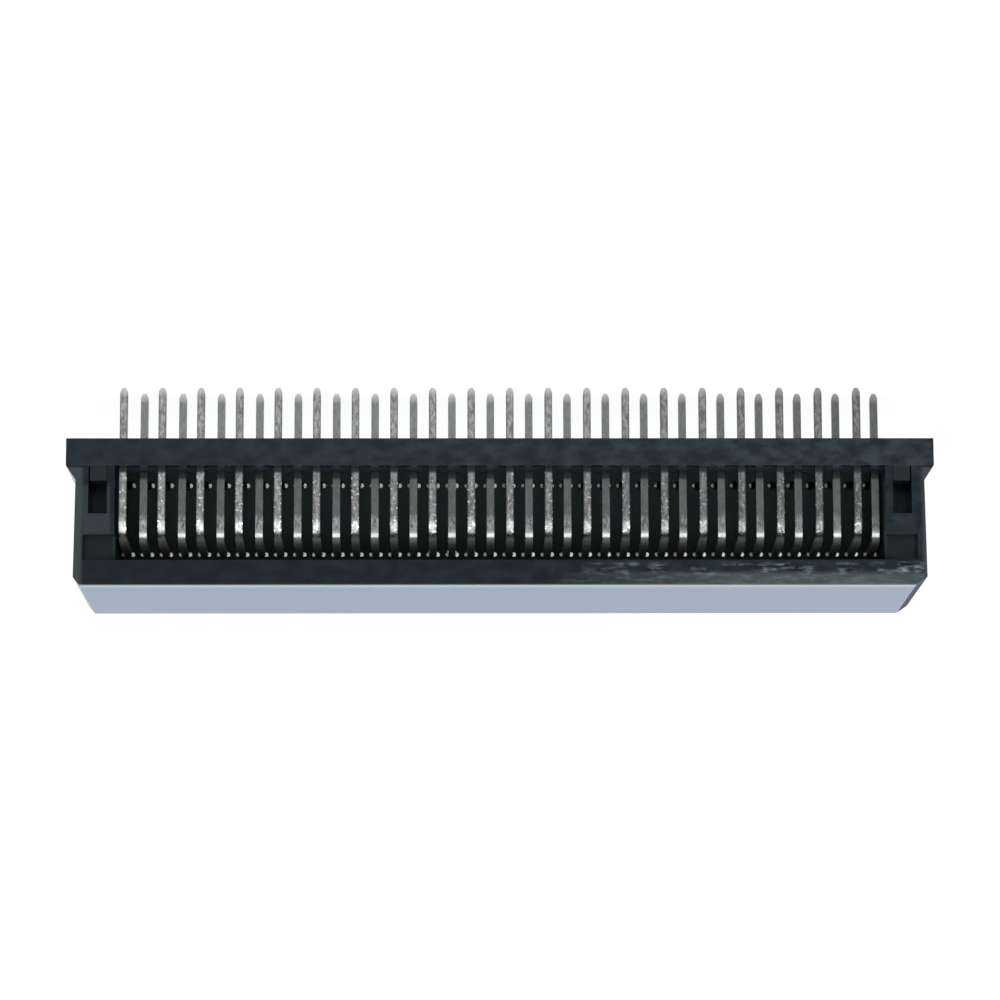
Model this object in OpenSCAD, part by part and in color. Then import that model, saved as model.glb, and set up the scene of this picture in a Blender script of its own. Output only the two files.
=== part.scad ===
// Right-angle card edge connector: a moulded housing with a card slot, a row of fork contacts with
// two rows of tails, and the tail aligner that snaps onto the ears of the housing.
// Z = 0 is the face of the board that it sits on, X runs along the slot, a card goes in from -Y,
// and the origin is midway between the two rows of tails.

/* [Contact field] */
// Number of contacts
positions = 40; // [4:2:58]
// Distance from one contact to the next
pitch = 1.27; // [1.2:0.01:2.54]
// Distance between the two rows of tails
row_gap = 1.27; // [1.1:0.01:2.54]
// Height between the lower stubs and the runs of the tails
row_span = 4.48; // [3.9:0.02:6]
// Distance from the rear row of tails to the rear face
tail_to_rear = 0.865; // [0.6:0.005:2]
// Distance from the front row of tails to the rear wall
tail_to_wall = 3.865; // [2:0.005:6]

/* [Contacts] */
// Thickness of the contact sheet, along X
contact_t = 0.5; // [0.4:0.01:0.6]
// Width of a tail and of its run from the rear wall
tail_w = 0.5; // [0.4:0.01:0.6]
// Length of a rear tail below the board face
tail_l = 3.55; // [2:0.05:6]
// How much shorter a front tail is
front_cut = 0.15; // [0:0.05:0.5]
// Length of the rounded point of a tail
point_l = 0.45; // [0.3:0.05:1.2]
// Width of the blunt tip of the point
point_w = 0.2; // [0.1:0.01:0.35]
// Inside radius of the bend of a rear tail
rear_bend_r = 1.25; // [0.2:0.05:1.5]
// Inside radius of the bend of a front tail
front_bend_r = 0.5; // [0.2:0.05:1.2]
// Width of the web that joins the two beams
web_w = 0.6; // [0.4:0.05:1]
// Height of a beam where it leaves the web
beam_root = 0.75; // [0.5:0.05:1]
// Length of a beam from the web to its contact point
beam_l = 3.1; // [2.4:0.1:5]
// Gap between the two contact points of a fork
beam_gap = 1.1; // [0.8:0.05:1.5]
// Radius of a contact point
bump_r = 0.3; // [0.2:0.01:0.4]
// Length of the flared tip beyond the contact point
tip_l = 1.1; // [0.6:0.1:2]
// Gap between the two flared tips
tip_gap = 2.2; // [1.8:0.1:3]
// Height of the end of a flared tip
tip_w = 0.3; // [0.2:0.05:0.45]
// Height of the cropped lower stub
stub_h = 0.44; // [0.42:0.01:0.6]
// How far the lower stub comes out of the rear wall
stub_out = 0.25; // [0.1:0.05:0.6]
// Slant of the cropped end of the lower stub
stub_slant = 0.1; // [0:0.02:0.2]
// Radius of the stake on the +X side of a stub
stake_r = 0.15; // [0.1:0.01:0.18]
// Radius of the stake on the -X side of a stub
small_stake_r = 0.13; // [0.08:0.01:0.15]
// Height of the stakes above the rear wall
stake_h = 0.15; // [0.08:0.01:0.25]
// Height of the stakes beside a run above the middle of the run
stake_rise = 0.2; // [0:0.01:0.25]
// Distance from the side of a contact to the middle of a stake
stake_out = 0.06; // [0.02:0.01:0.07]

/* [Card slot] */
// Thickness of the card
card_t = 1.6; // [1.2:0.1:2]
// Play of the card in the slot
card_clear = 0.3; // [0.1:0.05:0.6]
// Lead-in chamfer at the mouth
lead_in = 0.65; // [0.2:0.05:0.9]
// Depth of the tips behind the front face
tip_set = 0.5; // [0.2:0.05:1.5]
// Distance from the webs to the stop of the card
stop_gap = 0.2; // [0.1:0.05:0.6]
// Wall at each end of the slot
end_wall = 1.8; // [1.2:0.05:2.2]

/* [Housing] */
// Thickness of the rear wall that holds the contacts
wall_t = 1.1; // [0.8:0.05:2]
// Thickness of the top wall
top_wall = 1.68; // [1:0.02:2.5]
// Free height between the runs and the top wall
run_gap = 1.28; // [0.4:0.01:2]
// Rib between an ear window and the rear recess
ear_rib = 0.5; // [0.3:0.05:1]
// Outer wall of an ear
ear_wall = 0.85; // [0.8:0.05:1.5]
// Depth of an ear window
ear_window_d = 3.2; // [3:0.1:5.5]
// Height of the bridge above an ear window
bridge_h = 1.35; // [0.8:0.05:1.5]
// How far the bridge slopes in over its height
bridge_slope = 0.2; // [0.05:0.01:0.4]
// Height of the pocket above the bridge
ear_pocket_h = 1.74; // [1.4:0.02:2]
// Width of the pocket and the bridge
ear_pocket_w = 2.05; // [1.8:0.05:2.2]
// Depth of the pocket above the bridge
ear_pocket_d = 1; // [0.6:0.05:1.5]
// Overhang of the foot at each end
foot_over = 0.65; // [0.3:0.05:1.5]
// Height of the gusset above the foot
gusset_h = 0.98; // [0.6:0.02:2]
// Lean of each end over the height of the body
end_draft = 0.08; // [0:0.01:0.2]
// Width of the chamfer at the -X top end
small_chamfer_w = 0.44; // [0.2:0.02:0.8]
// Width of the chamfer at the +X top end
end_chamfer_w = 0.78; // [0.2:0.02:0.9]
// Height of the chamfer at the top ends
end_chamfer_h = 0.56; // [0.2:0.02:0.9]
// Chamfer along the front edges
front_chamfer = 0.3; // [0.1:0.05:0.6]

/* [Tail aligner] */
// Thickness of the aligner plate
aligner_t = 1.8; // [1.4:0.05:2.5]
// Thickness of the plate between the front row and the rear wall
tongue_t = 1.2; // [0.6:0.05:1.2]
// Distance from the front row of tails to that thinner part
tongue_set = 0.6; // [0.4:0.05:1.2]
// Width of a latch
latch_w = 1.12; // [0.9:0.02:1.2]
// Height of a latch above the plate
latch_h = 0.95; // [0.8:0.05:1.2]
// Length of a latch, along Y
latch_l = 1.3; // [0.8:0.05:2]
// Depth of a latch behind the rear face
latch_set = 0.3; // [0.1:0.05:0.4]
// Height of the barb of a latch
barb_h = 0.45; // [0.2:0.05:0.6]
// How far the barb reaches over its step
barb_out = 0.3; // [0.15:0.05:0.5]
// Position of the gate mark on the plate, along X
gate_x = 13.4; // [-20:0.1:20]
// Width of the gate mark
gate_w = 1; // [0.4:0.1:2]
// Height of the gate mark
gate_h = 0.25; // [0.1:0.05:0.5]
// Depth of the gate mark
gate_d = 0.3; // [0.1:0.05:0.4]

/* [Clearances] */
// Between the aligner and the housing
fit_gap = 0.05; // [0.02:0.01:0.12]
// Between a tail and its hole in the aligner
hole_clear = 0.05; // [0.02:0.01:0.1]
// Between a contact and the walls of its groove
groove_clear = 0.1; // [0.04:0.01:0.16]
// Between a stub and its window in the rear wall
window_clear = 0.02; // [0.01:0.01:0.1]
// Between a stake and the walls beside it
stake_clear = 0.02; // [0.01:0.005:0.05]
// Between the lower stubs and the height of the aligner
stub_lift = 0.06; // [0.06:0.01:0.3]

/* [Hidden] */
$fn = 48;
past = 1;

function contact_name(i) = str("contact_", i < 10 ? "0" : "", i);

field_half = (positions - 1) * pitch / 2;

// Places along Y, from the rear face to the front face
rear_row_y = row_gap / 2;
front_row_y = -row_gap / 2;
rear_y = rear_row_y + tail_to_rear;
wall_y = front_row_y - tail_to_wall;
chamber_y = wall_y - wall_t;
web_y = chamber_y - web_w;
bump_y = web_y - beam_l;
tip_y = bump_y - tip_l;
front_y = tip_y - tip_set;
stop_y = web_y - stop_gap;

// Heights above the board face
stub_z = aligner_t + stub_lift + stub_h / 2;
run_z = stub_z + row_span;
slot_z = (stub_z + run_z) / 2;
fork_half = run_z + tail_w / 2 - slot_z;
groove_half = fork_half + groove_clear;
roof_z = run_z + tail_w / 2 + run_gap;
top_z = roof_z + top_wall;
slot_half_h = (card_t + card_clear) / 2;
bump_z = beam_gap / 2 + bump_r;

// Half lengths along X
stake_x = contact_t / 2 + stake_out;
recess_half = field_half + stake_x + stake_r + stake_clear;
window_in = recess_half + ear_rib;
window_out = window_in + latch_w + 2 * fit_gap;
body_half = window_out + ear_wall;
foot_half = body_half + foot_over;
slot_half = body_half - end_wall;

// Windows in the rear wall and holes in the aligner
window_w = contact_t + 2 * window_clear;
groove_w = contact_t + 2 * groove_clear;
hole_x = contact_t + 2 * hole_clear;
hole_y = tail_w + 2 * hole_clear;

// Ears and latches
ear_out = recess_half + ear_pocket_w;
bridge_top_z = roof_z - ear_pocket_h;
bridge_z = bridge_top_z - bridge_h;
latch_y = rear_y - latch_set - latch_l;
latch_z = aligner_t + latch_h;
barb_z = latch_z - barb_h;

function contact_x(i) = -field_half + (i - 1) * pitch;
function in_rear_row(i) = i % 2 == 1;
function tail_y(i) = in_rear_row(i) ? rear_row_y : front_row_y;

// Sweeps an outline in Y and Z along X, on both sides of the middle
module along_x(length) {
    rotate([90, 0, 90])
        linear_extrude(height = length, center = true)
            children();
}

// Sweeps an outline in X and Z from one place on Y to another
module along_y(from, to) {
    translate([0, to, 0])
        rotate([90, 0, 0])
            linear_extrude(height = to - from)
                children();
}

// A box given by its near and far corners
module span(low, high) {
    translate(low)
        cube(high - low);
}

// A rectangle given by its corners
module patch(low, high) {
    translate(low)
        square(high - low);
}

module both_ends() {
    children();
    mirror([1, 0, 0])
        children();
}

module each_contact() {
    for (i = [1:positions])
        translate([contact_x(i), 0, 0])
            children();
}

// One half of the end view, from the foot to the top, with the chamfer at its top corner
function half_outline(side, chamfer_w) = [
    [side * foot_half, 0],
    [side * foot_half, aligner_t],
    [side * body_half, aligner_t + gusset_h],
    [side * (body_half + end_draft), top_z - end_chamfer_h],
    [side * (body_half + end_draft - chamfer_w), top_z]
];

function reversed(points) = [for (k = [len(points) - 1:-1:0]) points[k]];

// End view of the whole body with its foot
module body_outline() {
    polygon(concat(half_outline(1, end_chamfer_w), reversed(half_outline(-1, small_chamfer_w))));
}

// Mouth of the card slot, wider at the front face
module mouth_outline() {
    polygon([
        [front_y, slot_z - slot_half_h - lead_in],
        [front_y + lead_in, slot_z - slot_half_h],
        [front_y + lead_in, slot_z + slot_half_h],
        [front_y, slot_z + slot_half_h + lead_in]
    ]);
}

// Corner taken off along the upper and the lower front edge
module front_edge_outline(z, inward) {
    polygon([
        [front_y, z],
        [front_y + front_chamfer, z],
        [front_y, z + inward * front_chamfer]
    ]);
}

module rear_windows() {
    for (row = [[run_z, tail_w], [stub_z, stub_h]])
        translate([0, wall_y - wall_t / 2, row[0]])
            cube([window_w, wall_t + past, row[1] + 2 * window_clear], center = true);
}

// Window that holds a latch, with the step that its barb holds on to
module ear_window() {
    span([window_in, latch_y - fit_gap, aligner_t], [window_out, rear_y + past, bridge_z]);
    span([window_in, rear_y - ear_window_d, barb_z - fit_gap], [window_out, rear_y + past, bridge_z]);
}

// Pocket above the bridge, and the slope on the rear face of the bridge
module ear_pocket() {
    span([field_half, rear_y - ear_pocket_d, bridge_top_z], [ear_out, rear_y + past, roof_z]);
    translate([(field_half + ear_out) / 2, 0, 0])
        along_x(ear_out - field_half)
            polygon([
                [rear_y, bridge_z],
                [rear_y + past, bridge_z],
                [rear_y + past, bridge_top_z],
                [rear_y - bridge_slope, bridge_top_z]
            ]);
}

module housing() {
    color([0.06, 0.07, 0.08])
        difference() {
            along_y(front_y, rear_y)
                body_outline();
            span([-foot_half - past, wall_y, -past], [foot_half + past, rear_y + past, aligner_t]);
            span([-recess_half, wall_y, 0], [recess_half, rear_y + past, roof_z]);
            both_ends()
                ear_window();
            both_ends()
                ear_pocket();
            span(
                [-slot_half, front_y - past, slot_z - slot_half_h],
                [slot_half, stop_y, slot_z + slot_half_h]
            );
            along_x(2 * slot_half)
                mouth_outline();
            along_x(2 * foot_half + past)
                front_edge_outline(top_z, -1);
            along_x(2 * foot_half + past)
                front_edge_outline(0, 1);
            each_contact()
                span(
                    [-groove_w / 2, front_y - past, slot_z - groove_half],
                    [groove_w / 2, chamber_y, slot_z + groove_half]
                );
            each_contact()
                rear_windows();
        }
}

// Side view of a latch with its barb
module latch_outline() {
    polygon([
        [latch_y, aligner_t],
        [rear_y - latch_set, aligner_t],
        [rear_y - latch_set, latch_z],
        [latch_y, latch_z],
        [latch_y - barb_out, barb_z],
        [latch_y, barb_z]
    ]);
}

module latch() {
    translate([(window_in + window_out) / 2, 0, 0])
        along_x(latch_w)
            latch_outline();
}

module tail_aligner() {
    color([0.09, 0.1, 0.11])
        difference() {
            union() {
                span([-foot_half, wall_y + fit_gap, 0], [foot_half, rear_y, aligner_t]);
                both_ends()
                    latch();
            }
            span(
                [-recess_half, wall_y, tongue_t],
                [recess_half, front_row_y - tongue_set, aligner_t + past]
            );
            for (i = [1:positions])
                translate([contact_x(i), tail_y(i), aligner_t / 2])
                    cube([hole_x, hole_y, 2 * aligner_t + past], center = true);
            span(
                [gate_x - gate_w / 2, rear_y - gate_d, aligner_t - gate_h],
                [gate_x + gate_w / 2, rear_y + past, aligner_t + past]
            );
        }
}

// Upper half of the fork, measured from the middle of the slot
module beam_outline() {
    polygon([
        [web_y, fork_half],
        [web_y, fork_half - beam_root],
        [bump_y, bump_z - bump_r],
        [tip_y, tip_gap / 2],
        [tip_y, tip_gap / 2 + tip_w],
        [bump_y, bump_z + bump_r]
    ]);
    translate([bump_y, bump_z])
        circle(r = bump_r);
}

module fork_outline() {
    translate([0, slot_z]) {
        patch([web_y, -fork_half], [chamber_y, fork_half]);
        beam_outline();
        mirror([0, 1])
            beam_outline();
    }
    polygon([
        [web_y, stub_z - stub_h / 2],
        [wall_y + stub_out - stub_slant, stub_z - stub_h / 2],
        [wall_y + stub_out, stub_z + stub_h / 2],
        [web_y, stub_z + stub_h / 2]
    ]);
}

// A bar of a given width up to a given height, with a rounded point at its lower end
module pointed_bar(width, low, high) {
    narrowing = (width - point_w) / 2;
    point_r = (point_l * point_l + narrowing * narrowing) / (2 * narrowing);
    patch([-width / 2, low + point_l], [width / 2, high]);
    intersection() {
        translate([point_r - width / 2, low + point_l])
            circle(r = point_r);
        translate([width / 2 - point_r, low + point_l])
            circle(r = point_r);
        patch([-width / 2, low], [width / 2, low + point_l]);
    }
}

// Run from the web to the bend, the bend, and the tail down to its point
module tail_outline(y, bend_r, tip_z) {
    bend_y = y - tail_w / 2 - bend_r;
    bend_z = run_z - tail_w / 2 - bend_r;
    patch([web_y, run_z - tail_w / 2], [bend_y, run_z + tail_w / 2]);
    intersection() {
        translate([bend_y, bend_z])
            difference() {
                circle(r = bend_r + tail_w);
                circle(r = bend_r);
            }
        patch([bend_y, bend_z], [y + tail_w / 2, run_z + tail_w / 2]);
    }
    translate([y, 0])
        pointed_bar(tail_w, tip_z, bend_z);
}

// Stakes that hold a contact against the rear wall, on both sides of a stub
module stakes(z) {
    for (side = [[-stake_x, small_stake_r], [stake_x, stake_r]])
        translate([side[0], 0, z])
            along_y(wall_y + stake_clear, wall_y + stake_h)
                circle(r = side[1]);
}

module contact(i) {
    bend_r = in_rear_row(i) ? rear_bend_r : front_bend_r;
    tip_z = in_rear_row(i) ? -tail_l : front_cut - tail_l;
    color([0.72, 0.72, 0.7])
        translate([contact_x(i), 0, 0]) {
            intersection() {
                along_x(contact_t + past)
                    union() {
                        fork_outline();
                        tail_outline(tail_y(i), bend_r, tip_z);
                    }
                along_y(front_y, rear_y)
                    pointed_bar(contact_t, tip_z, roof_z);
            }
            stakes(run_z + stake_rise);
            stakes(stub_z);
        }
}

housing();
tail_aligner();
for (i = [1:positions])
    contact(i);
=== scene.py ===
"""A card edge connector on a pale floor, seen from its rear.

The picture is turned so that the tails point up.
"""

import math

import bpy
from mathutils import Matrix, Vector


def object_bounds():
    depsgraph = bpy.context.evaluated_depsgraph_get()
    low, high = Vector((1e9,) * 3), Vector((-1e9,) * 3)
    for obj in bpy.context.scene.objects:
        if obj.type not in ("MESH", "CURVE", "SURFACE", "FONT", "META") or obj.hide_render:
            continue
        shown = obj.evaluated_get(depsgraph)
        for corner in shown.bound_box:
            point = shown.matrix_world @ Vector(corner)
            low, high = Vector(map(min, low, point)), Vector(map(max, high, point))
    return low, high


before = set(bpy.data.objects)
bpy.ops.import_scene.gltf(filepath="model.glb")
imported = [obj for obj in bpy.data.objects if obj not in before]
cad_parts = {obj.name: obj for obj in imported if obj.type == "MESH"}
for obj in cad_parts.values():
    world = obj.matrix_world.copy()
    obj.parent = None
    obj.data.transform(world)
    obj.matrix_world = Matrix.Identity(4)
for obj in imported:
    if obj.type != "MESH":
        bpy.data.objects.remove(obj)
cad_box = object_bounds()
MM = 0.001

# Camera, in millimetres and degrees, its sensor's width, and the depths that it shows, in metres
CAMERA_AT = Vector((-3.246, 265.793, 52.239)) * MM
CAMERA_YAW = 0.697
CAMERA_PITCH = 10.317
CAMERA_ROLL = -0.146
CAMERA_LENS = 147.745
SENSOR_WIDTH = 36.0
CLIP_START = 0.01
CLIP_END = 20.0

# Light: the point that the lamps face, the world's strength as a light and as it is seen,
# and the floor's size, grey and glow
LAMP_TARGET = Vector((0.0, 0.0, 5.0)) * MM
WORLD_LIGHT = 0.4
WORLD_SEEN = 1.0
FLOOR_HALF = 1.5
FLOOR_GREY = (0.12, 0.12, 0.12)
FLOOR_GLOW = 0.95
WHITE = (1.0, 1.0, 1.0)
BLACK = (0.0, 0.0, 0.0)

# Colours of the plastic: darkest, worn, painted light on the left ear, painted shade in the ear
# windows, painted light in the recess, the top face, and a painted highlight on its rim
DEEP_BLUE = (0.0, 0.002, 0.005)
WORN_PLASTIC = (0.09, 0.115, 0.12)
EAR_PAINTED_LIGHT = (0.024, 0.031, 0.037)
WINDOW_PAINTED_SHADE = (0.003, 0.005, 0.006)
RECESS_PAINTED_LIGHT = (0.015, 0.022, 0.024)
TOP_PLASTIC = (0.008, 0.009, 0.01)
RIM_PAINTED_HIGHLIGHT = (0.24, 0.23, 0.25)
PLASTIC_TINT = (0.8, 0.94, 1.0)

# Roughness of matt places, of the matt chamfer and of the metal, and how far the plastic's varies
MATT = 0.6
CHAMFER_MATT = 0.65
METAL_GLOSS = (0.2, 0.38)
GLOSS_SPREAD = 0.06

# Ends of the part, from the frame
TIP_Z = cad_box[0][2]
END_X, REAR_Y, TOP_Z = cad_box[1]

# Places on the plastic. One that starts at a level is the level and the slope above it.
# One between two levels is both levels and the slope at each. SCUFF_X and RECESS_X are slopes.
PLATE_Z = 1.9 * MM
OFF_PLATE_Z = (PLATE_Z, 0.1 * MM)
REAR_FACE_Y = (REAR_Y - 0.6 * MM, 0.1 * MM)
SCUFF_X = (3.0 * MM, 16.0 * MM)
SCUFF_Z = (TOP_Z - 1.6 * MM, 0.2 * MM)
WORN_Z = (TOP_Z - 0.98 * MM, 0.3 * MM)
PLAIN_MIDDLE_X = (1.25 * MM - END_X, END_X - 0.95 * MM, 0.3 * MM)
TOP_FACE_Z = (TOP_Z - 0.09 * MM, 0.06 * MM)
RIM_Y = (REAR_Y - 1.2 * MM, 0.6 * MM)
EAR_X = (-END_X, 2.85 * MM - END_X, 0.15 * MM)
EAR_Z = (3.3 * MM, 6.4 * MM, 0.3 * MM)
WINDOW_X = (END_X - 3.05 * MM, END_X - 1.45 * MM, 0.02 * MM)
WINDOW_Y = (REAR_Y - 4.5 * MM, REAR_Y - 0.25 * MM, 0.1 * MM)
WINDOW_Z = (PLATE_Z, TOP_Z - 1.7 * MM, 0.1 * MM)
RECESS_X = (END_X - 3.05 * MM, END_X - 1.45 * MM)
RECESS_Y = (REAR_Y - 7.0 * MM, REAR_Y - 0.9 * MM, 0.1 * MM)
CHAMFER_X = (END_X - 1.32 * MM, 0.05 * MM)
CHAMFER_Z = (TOP_Z - 0.62 * MM, 0.1 * MM)

# Places on the contacts, written the same way. SHEET_EDGE, SPRING_Y, LOW_STAKE_Z and FADE_X are slopes.
PITCH = 1.27 * MM
HALF_PITCH = 0.5 * PITCH
SHEET_HALF = 0.25 * MM
SHEET_EDGE = (0.6 * SHEET_HALF, SHEET_HALF)
OFF_SHEET = (SHEET_HALF, 0.01 * MM)
RIGHT_HALF = (HALF_PITCH, 0.1 * PITCH)
REAR_ROW_Y = (-0.2 * MM, 0.4 * MM)
STAKE_Y = (REAR_Y - 5.95 * MM, REAR_Y - 5.75 * MM, 0.05 * MM)
SPRING_Y = (REAR_Y - 7.9 * MM, REAR_Y - 7.5 * MM)
LOW_STAKE_Z = (3.0 * MM, 3.5 * MM)
MOTTLED_Z = (4.7 * MM, 0.4 * MM)
BEND_Z = (5.6 * MM, 0.3 * MM)
RUN_Z = (6.3 * MM, 0.2 * MM)
FOOT_Z = (1.1 * MM, 0.1 * MM)
FRONT_SHADE_Z = 2.3 * MM
REAR_SHADE_Z = 2.1 * MM
SHADE_SLOPE = 0.15 * MM
FRONT_TIP_Z = TIP_Z + 0.15 * MM
TIP_LENGTH = 0.7 * MM
FADE_X = (2.0 * MM, 22.0 * MM)


class Shader:
    """A material with a Principled surface, and short calls to add the nodes that feed it."""

    def __init__(self, name):
        self.material = bpy.data.materials.new(name)
        self.material.use_nodes = True
        self.tree = self.material.node_tree
        self.surface = self.tree.nodes["Principled BSDF"]
        self.place = self.add("ShaderNodeTexCoord").outputs["Object"]
        split = self.add("ShaderNodeSeparateXYZ")
        self.feed(self.place, split.inputs["Vector"])
        self.x, self.y, self.z = split.outputs

    def add(self, kind, **settings):
        node = self.tree.nodes.new(kind)
        for key, value in settings.items():
            setattr(node, key, value)
        return node

    def feed(self, value, socket):
        """Sets a socket to a number or a colour, or wires another node's output to it."""
        if isinstance(value, bpy.types.NodeSocket):
            self.tree.links.new(value, socket)
        elif isinstance(value, tuple):
            socket.default_value = (*value, 1.0)
        else:
            socket.default_value = value

    def set(self, **values):
        """Feeds the surface's sockets, named with underscores for spaces."""
        for key, value in values.items():
            self.feed(value, self.surface.inputs[key.replace("_", " ")])

    def noise(self, grain, density=(1.0, 1.0, 1.0), detail=3.0, roughness=0.55):
        """Noise with features of about the given size in metres, closer by a factor along each axis."""
        mapping = self.add("ShaderNodeMapping")
        mapping.inputs["Scale"].default_value = density
        self.feed(self.place, mapping.inputs["Vector"])
        texture = self.add("ShaderNodeTexNoise")
        self.feed(1.0 / grain, texture.inputs["Scale"])
        self.feed(detail, texture.inputs["Detail"])
        self.feed(roughness, texture.inputs["Roughness"])
        self.feed(mapping.outputs["Vector"], texture.inputs["Vector"])
        return texture.outputs["Fac"]

    def ramp(self, value, low, high, to_low=0.0, to_high=1.0):
        """A value mapped from one range to another and held at its ends."""
        node = self.add("ShaderNodeMapRange")
        self.feed(value, node.inputs["Value"])
        self.feed(low, node.inputs["From Min"])
        self.feed(high, node.inputs["From Max"])
        self.feed(to_low, node.inputs["To Min"])
        self.feed(to_high, node.inputs["To Max"])
        return node.outputs["Result"]

    def calc(self, operation, first, second=0.0):
        node = self.add("ShaderNodeMath", operation=operation)
        self.feed(first, node.inputs[0])
        self.feed(second, node.inputs[1])
        return node.outputs["Value"]

    def all_of(self, first, *others):
        """One where every mask is one."""
        for other in others:
            first = self.calc("MULTIPLY", first, other)
        return first

    def inverse(self, mask):
        """One where a mask is nought."""
        return self.ramp(mask, 0.0, 1.0, 1.0, 0.0)

    def above(self, value, level, slope):
        """One above a level, nought below it, with a short slope upwards from it."""
        return self.ramp(value, level, level + slope)

    def below(self, value, low, high):
        """One below a range, nought above it, with a slope across it."""
        return self.ramp(value, low, high, 1.0, 0.0)

    def between(self, value, low, high, slope):
        """One inside a range, nought outside it, with a short slope at both ends."""
        return self.all_of(
            self.above(value, low - slope, slope),
            self.below(value, high, high + slope),
        )

    def number(self, mask, off, on):
        """A number that is off where a mask is nought and on where it is one."""
        return self.ramp(mask, 0.0, 1.0, off, on)

    def mix(self, factor, low, high):
        """A colour between two, where each is a colour or another node's output."""
        node = self.add("ShaderNodeMix", data_type="RGBA")
        self.feed(factor, node.inputs["Factor"])
        self.feed(low, node.inputs[6])
        self.feed(high, node.inputs[7])
        return node.outputs[2]

    def soften(self, radius, height, distance, strength):
        """Rounded edges and a fine bump on the surface."""
        edge = self.add("ShaderNodeBevel", samples=6)
        self.feed(radius, edge.inputs["Radius"])
        bump = self.add("ShaderNodeBump")
        self.feed(distance, bump.inputs["Distance"])
        self.feed(strength, bump.inputs["Strength"])
        self.feed(height, bump.inputs["Height"])
        self.feed(edge.outputs["Normal"], bump.inputs["Normal"])
        self.set(Normal=bump.outputs["Normal"])


def shade(colour, share):
    return tuple(share * channel for channel in colour)


def body_colour(shader, base):
    """Uneven black, paler to the right, with painted light on the left ear.

    Scuffs and a worn strip lie under the top edge at the right. Both ends are paler, with edge wear and
    a painted highlight on their outer edges.
    """
    mould_noise = shader.noise(0.8 * MM, density=(0.6, 1.0, 1.0), detail=5.0)
    tone = shader.ramp(mould_noise, 0.38, 0.64)
    paler = shader.ramp(shader.x, -END_X, END_X, 0.3, 1.0)
    colour = shader.mix(shader.all_of(tone, paler), DEEP_BLUE, base)

    at_rear = shader.above(shader.y, *REAR_FACE_Y)
    ear = shader.all_of(
        at_rear,
        shader.between(shader.x, *EAR_X),
        shader.between(shader.z, *EAR_Z),
    )
    # Painted light: the left ear is paler than the rest of the rear face.
    colour = shader.mix(ear, colour, EAR_PAINTED_LIGHT)

    on_right = shader.all_of(at_rear, shader.ramp(shader.x, *SCUFF_X))
    streak_noise = shader.noise(0.2 * MM, density=(0.2, 1.0, 1.0), detail=5.0)
    streaks = shader.ramp(streak_noise, 0.46, 0.68)
    clusters = shader.ramp(shader.noise(1.8 * MM), 0.44, 0.6)
    scuffs = shader.all_of(on_right, streaks, clusters, shader.above(shader.z, *SCUFF_Z))
    colour = shader.mix(scuffs, colour, shade(WORN_PLASTIC, 3.0))
    strip = shader.all_of(on_right, shader.above(shader.z, *WORN_Z))
    strip_colour = shader.mix(streaks, shade(WORN_PLASTIC, 0.65), shade(WORN_PLASTIC, 1.2))
    colour = shader.mix(strip, colour, strip_colour)

    # Both rear ends are paler: edge wear and a painted highlight on the outer edges.
    at_end = shader.inverse(shader.between(shader.x, *PLAIN_MIDDLE_X))
    end_wear_and_highlight = shader.all_of(at_rear, at_end, shader.above(shader.z, *OFF_PLATE_Z))
    return shader.mix(end_wear_and_highlight, colour, shade(WORN_PLASTIC, 0.5))


def black_plastic(name, base, roughness, specular):
    """Moulded black plastic with a smooth top face and a painted highlight along its rear rim.

    The other faces have a faint mould texture. The recess and one chamfer are matt. The recess has
    painted light and the ear windows painted shade.
    """
    shader = Shader(name)
    on_top = shader.above(shader.z, *TOP_FACE_Z)
    off_top = shader.inverse(on_top)
    off_centre = shader.calc("ABSOLUTE", shader.x)
    in_window = shader.all_of(
        shader.between(off_centre, *WINDOW_X),
        shader.between(shader.y, *WINDOW_Y),
        shader.between(shader.z, *WINDOW_Z),
    )
    in_recess = shader.all_of(
        shader.below(off_centre, *RECESS_X),
        shader.between(shader.y, *RECESS_Y),
        off_top,
    )
    on_chamfer = shader.all_of(
        shader.above(shader.x, *CHAMFER_X),
        shader.above(shader.z, *CHAMFER_Z),
    )

    # Painted highlight along the rear rim of the top face.
    top_colour = shader.mix(shader.above(shader.y, *RIM_Y), TOP_PLASTIC, RIM_PAINTED_HIGHLIGHT)
    colour = shader.mix(on_top, body_colour(shader, base), top_colour)
    # Painted light: the recess is paler than the body around it.
    colour = shader.mix(in_recess, colour, RECESS_PAINTED_LIGHT)
    sheen_noise = shader.noise(0.6 * MM, density=(0.5, 1.0, 1.0), detail=4.0)
    sheen = shader.number(on_top, sheen_noise, 0.5)
    gloss = shader.ramp(sheen, 0.3, 0.7, roughness - GLOSS_SPREAD, roughness + GLOSS_SPREAD)
    gloss = shader.number(in_recess, gloss, MATT)
    # Painted shade: the ear windows are darker than the faces around them.
    shader.set(
        Base_Color=shader.mix(in_window, colour, WINDOW_PAINTED_SHADE),
        Roughness=shader.number(on_chamfer, gloss, CHAMFER_MATT),
        Specular_IOR_Level=specular,
        Specular_Tint=PLASTIC_TINT,
    )
    shader.soften(
        radius=0.03 * MM,
        height=shader.all_of(shader.noise(0.25 * MM, detail=2.0), off_top),
        distance=0.003 * MM,
        strength=0.3,
    )
    return shader.material


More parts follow.
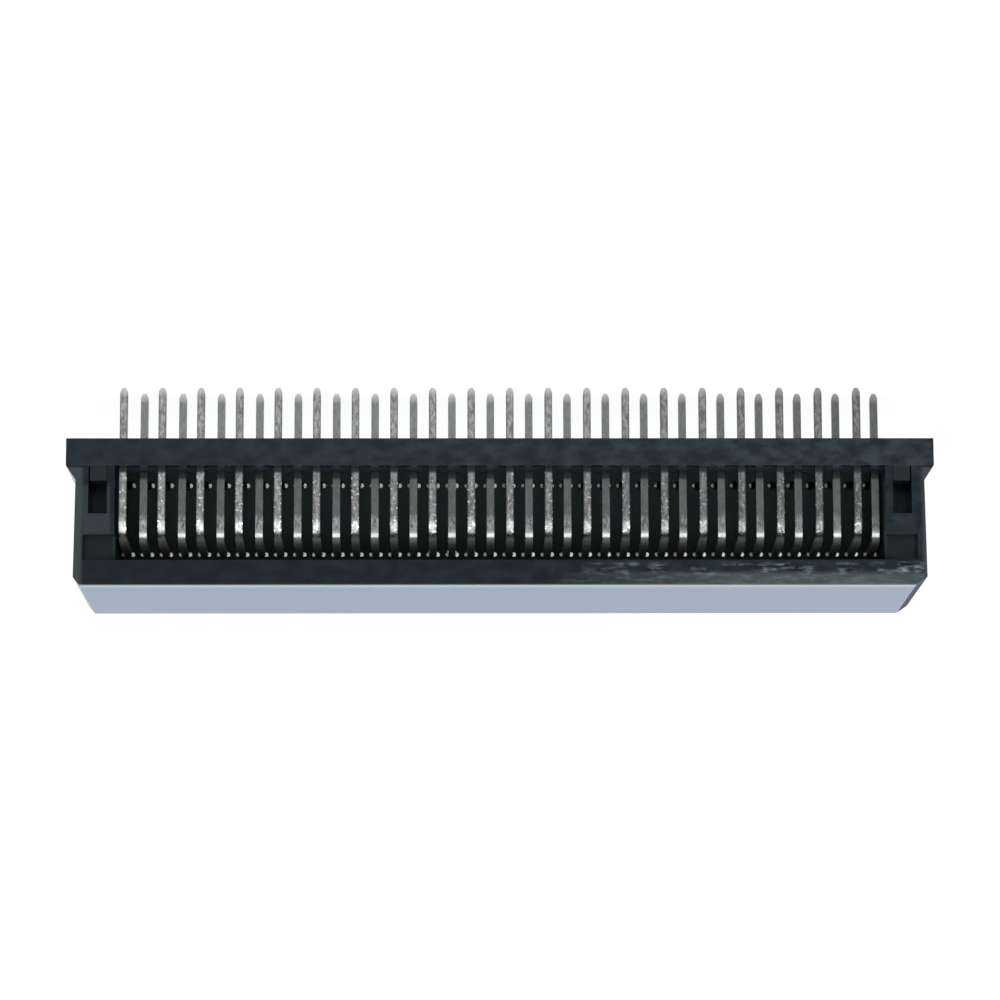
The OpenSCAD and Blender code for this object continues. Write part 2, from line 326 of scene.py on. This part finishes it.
def plated_metal(name, tin, dull_tin, far_tin, bright_tin, gold):
    """Tin plate, mottled on the rear tails, smooth on the front ones, with painted highlights on the
    stakes and tips.

    The runs from the rear wall are satin with painted light on them, and the springs in the slot are
    gold.
    """
    shader = Shader(name)
    rear_row = shader.above(shader.y, *REAR_ROW_Y)
    along = shader.calc("FLOORED_MODULO", shader.calc("ADD", shader.x, HALF_PITCH), PITCH)
    off_middle = shader.calc("PINGPONG", along, HALF_PITCH)
    under_board = shader.below(shader.z, 0.0, PLATE_Z)
    # Painted shade: the tails and their mottling grow darker to the right.
    painted_light_to_the_left = shader.ramp(shader.x, -END_X, END_X, 0.95, 0.4)

    # Rear tails: blotches, darker edges, and bright specks above the plate
    blotch_noise = shader.noise(0.24 * MM, density=(1.5, 1.0, 0.6), detail=6.0, roughness=0.7)
    blotches = shader.ramp(blotch_noise, 0.4, 0.62)
    edge = shader.ramp(off_middle, *SHEET_EDGE)
    rear_plate = shader.mix(edge, shader.mix(blotches, dull_tin, tin), shade(dull_tin, 0.6))
    speck_noise = shader.noise(0.22 * MM, detail=2.0)
    specks = shader.all_of(
        shader.ramp(speck_noise, 0.6, 0.65),
        shader.above(shader.z, *OFF_PLATE_Z),
    )
    rear_plate = shader.mix(specks, rear_plate, shade(bright_tin, 0.75))

    # Front tails: painted shade in the recess and painted light under the board, mottled near the bends
    front_plate = shader.mix(
        under_board,
        shader.mix(blotches, shade(far_tin, 0.7), shade(far_tin, 0.95)),
        shader.mix(blotches, shade(far_tin, 1.35), shade(far_tin, 1.8)),
    )
    mottled = shader.all_of(painted_light_to_the_left, blotches, shader.above(shader.z, *MOTTLED_Z))
    front_plate = shader.mix(mottled, front_plate, tin)
    # Painted highlight on the bends of the front tails.
    bend_highlight = shader.above(shader.z, *BEND_Z)
    front_plate = shader.mix(bend_highlight, front_plate, shade(far_tin, 1.9))
    plate = shader.mix(rear_row, front_plate, rear_plate)

    # Both rows: a painted highlight on the tips, painted shade darker to the right, and painted shade
    # on the feet just above the plate
    tip_z = shader.number(rear_row, FRONT_TIP_Z, TIP_Z)
    tip_highlight = shader.below(shader.calc("SUBTRACT", shader.z, tip_z), 0.0, TIP_LENGTH)
    # Painted highlight on the tips of both rows.
    plate = shader.mix(tip_highlight, plate, shade(bright_tin, 0.65))
    # Painted shade to the right: on the rear tails in the recess and on both rows under the board.
    recess_light = shader.number(rear_row, 1.0, painted_light_to_the_left)
    board_light = shader.ramp(shader.x, *FADE_X, 1.0, 0.6)
    plate = shader.mix(shader.number(under_board, recess_light, board_light), BLACK, plate)
    shade_z = shader.number(rear_row, FRONT_SHADE_Z, REAR_SHADE_Z)
    below_shade = shader.below(shader.calc("SUBTRACT", shader.z, shade_z), 0.0, SHADE_SLOPE)
    foot_shade = shader.all_of(below_shade, shader.above(shader.z, *FOOT_Z))
    # Painted shade on the feet just above the plate.
    plate = shader.mix(foot_shade, plate, shade(far_tin, 0.25))

    # Runs, stakes and springs
    on_run = shader.above(shader.z, *RUN_Z)
    # Painted light: a paler plate on the runs, which lie in shade under the roof.
    plate = shader.mix(on_run, plate, shade(bright_tin, 0.32))
    on_stake = shader.all_of(
        shader.between(shader.y, *STAKE_Y),
        shader.above(off_middle, *OFF_SHEET),
    )
    # Painted highlight on the right half of each stake.
    stake_highlight = shader.mix(shader.above(along, *RIGHT_HALF), bright_tin, tin)
    plate = shader.mix(on_stake, plate, stake_highlight)
    sprung = shader.below(shader.y, *SPRING_Y)
    gloss = shader.ramp(shader.noise(0.2 * MM, detail=4.0), 0.3, 0.7, *METAL_GLOSS)
    run_gloss = shader.number(on_run, gloss, MATT)
    stake_gloss = shader.ramp(shader.z, *LOW_STAKE_Z, MATT, gloss)
    shader.set(
        Base_Color=shader.mix(sprung, plate, gold),
        Metallic=1.0,
        Roughness=shader.number(on_stake, run_gloss, stake_gloss),
    )
    shader.soften(
        radius=0.03 * MM,
        height=shader.all_of(shader.noise(0.14 * MM, detail=4.0), rear_row),
        distance=0.012 * MM,
        strength=0.7,
    )
    return shader.material


def dress_nodes():
    looks = {
        "housing": black_plastic(
            "housing_plastic",
            base=(0.013, 0.022, 0.028),
            roughness=0.2,
            specular=0.23,
        ),
        "tail_aligner": black_plastic(
            "aligner_plastic",
            base=(0.027, 0.04, 0.05),
            roughness=0.24,
            specular=0.32,
        ),
    }
    metal = plated_metal(
        "contact_metal",
        tin=(0.395, 0.41, 0.405),
        dull_tin=(0.158, 0.165, 0.162),
        far_tin=(0.131, 0.139, 0.137),
        bright_tin=(0.92, 0.92, 0.9),
        gold=(0.72, 0.5, 0.2),
    )
    for name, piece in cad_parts.items():
        piece.data.materials.clear()
        piece.data.materials.append(looks.get(name, metal))


def add_camera():
    yaw, pitch, roll = (math.radians(angle) for angle in (CAMERA_YAW, CAMERA_PITCH, CAMERA_ROLL))
    aim = Vector((
        math.sin(yaw) * math.cos(pitch),
        -math.cos(yaw) * math.cos(pitch),
        -math.sin(pitch),
    ))
    right = aim.cross(Vector((0.0, 0.0, -1.0))).normalized()
    up = right.cross(aim)
    right, up = (
        math.cos(roll) * right + math.sin(roll) * up,
        math.cos(roll) * up - math.sin(roll) * right,
    )
    data = bpy.data.cameras.new("camera")
    data.lens = CAMERA_LENS
    data.sensor_width = SENSOR_WIDTH
    data.clip_start = CLIP_START
    data.clip_end = CLIP_END
    camera = bpy.data.objects.new("camera", data)
    turn = Matrix((right, up, -aim)).transposed()
    camera.matrix_world = Matrix.Translation(CAMERA_AT) @ turn.to_4x4()
    bpy.context.collection.objects.link(camera)
    bpy.context.scene.camera = camera


def add_lamp(name, at, size, radiance, colour=WHITE):
    """A flat lamp turned to the middle of the part, with its place and size in millimetres."""
    data = bpy.data.lights.new(name, "AREA")
    data.shape = "RECTANGLE"
    data.size, data.size_y = (side * MM for side in size)
    data.energy = radiance * math.pi * data.size * data.size_y
    data.color = colour
    lamp = bpy.data.objects.new(name, data)
    lamp.location = Vector(at) * MM
    lamp.rotation_euler = (LAMP_TARGET - lamp.location).to_track_quat("-Z", "Y").to_euler()
    bpy.context.collection.objects.link(lamp)


def add_light():
    add_lamp("key", at=(0, 405, 300), size=(500, 440), radiance=3.0, colour=(1.0, 0.99, 0.98))
    add_lamp("right", at=(350, 250, 60), size=(160, 200), radiance=2.5)
    add_lamp("left", at=(-350, 250, 60), size=(160, 200), radiance=1.6)
    add_lamp("front", at=(0, -700, 360), size=(2000, 800), radiance=0.6, colour=(0.2, 0.46, 1.0))


def light_path(tree):
    """One where the ray comes from the camera, a reflection or glass, and nought elsewhere."""
    path = tree.nodes.new("ShaderNodeLightPath")
    total = path.outputs["Is Camera Ray"]
    for kind in ("Is Glossy Ray", "Is Transmission Ray"):
        pair = tree.nodes.new("ShaderNodeMath")
        pair.operation = "MAXIMUM"
        tree.links.new(total, pair.inputs[0])
        tree.links.new(path.outputs[kind], pair.inputs[1])
        total = pair.outputs["Value"]
    return total


def add_world():
    world = bpy.data.worlds.new("studio")
    bpy.context.scene.world = world
    world.use_nodes = True
    tree = world.node_tree
    strength = tree.nodes.new("ShaderNodeMapRange")
    strength.inputs["To Min"].default_value = WORLD_LIGHT
    strength.inputs["To Max"].default_value = WORLD_SEEN
    background = tree.nodes["Background"]
    background.inputs["Color"].default_value = (*WHITE, 1.0)
    tree.links.new(light_path(tree), strength.inputs["Value"])
    tree.links.new(strength.outputs["Result"], background.inputs["Strength"])


def add_floor():
    """A square of pale paper under the tips of the tails."""
    corners = [
        (-FLOOR_HALF, -FLOOR_HALF, TIP_Z),
        (FLOOR_HALF, -FLOOR_HALF, TIP_Z),
        (FLOOR_HALF, FLOOR_HALF, TIP_Z),
        (-FLOOR_HALF, FLOOR_HALF, TIP_Z),
    ]
    mesh = bpy.data.meshes.new("floor")
    mesh.from_pydata(corners, [], [(0, 1, 2, 3)])
    floor = bpy.data.objects.new("floor", mesh)
    bpy.context.collection.objects.link(floor)
    shader = Shader("floor_paper")
    shader.set(
        Base_Color=FLOOR_GREY,
        Roughness=1.0,
        Specular_IOR_Level=0.0,
        Emission_Color=WHITE,
        Emission_Strength=shader.number(light_path(shader.tree), 0.0, FLOOR_GLOW),
    )
    mesh.materials.append(shader.material)


bpy.context.scene.view_settings.view_transform = "Standard"
add_camera()
dress_nodes()
add_world()
add_floor()
add_light()
